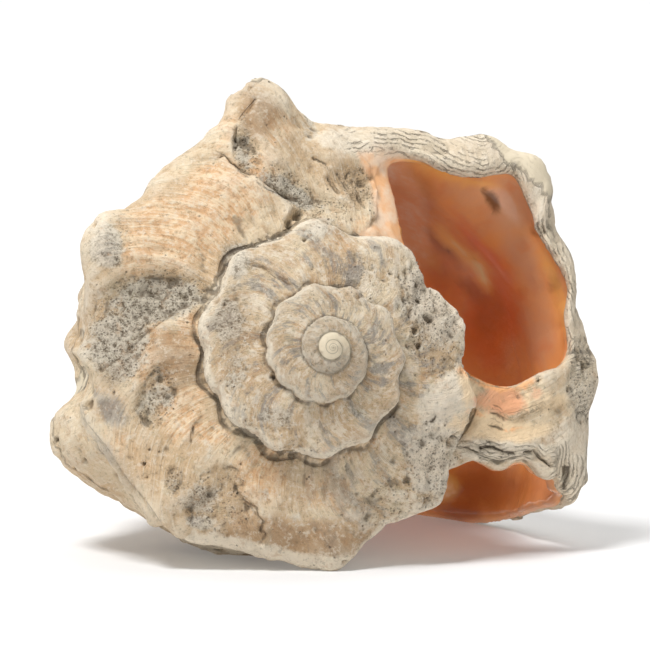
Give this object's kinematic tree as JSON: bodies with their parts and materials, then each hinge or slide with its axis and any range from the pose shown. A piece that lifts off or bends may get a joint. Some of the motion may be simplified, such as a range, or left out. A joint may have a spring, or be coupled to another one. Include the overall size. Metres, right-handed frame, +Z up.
{
  "type": "whelk shell",
  "caption": "Worn, globular right-handed whelk shell with a low knobbed spire, a hole worn through its last whorl and an orange inside",
  "frame": {"origin": "middle of the bounding box on the floor that the shell lies on", "axes": "+Z up with the mouth down, +Y from the apex back over the longest extent, +X towards the outer lip and the worn-through window"},
  "size_m": [0.092, 0.1095, 0.0803],
  "materials": {
    "shell": "chalky worn lime outside, glossy orange inside"
  },
  "bodies": {
    "root": {"shell": "shell"}
  },
  "joints": []
}
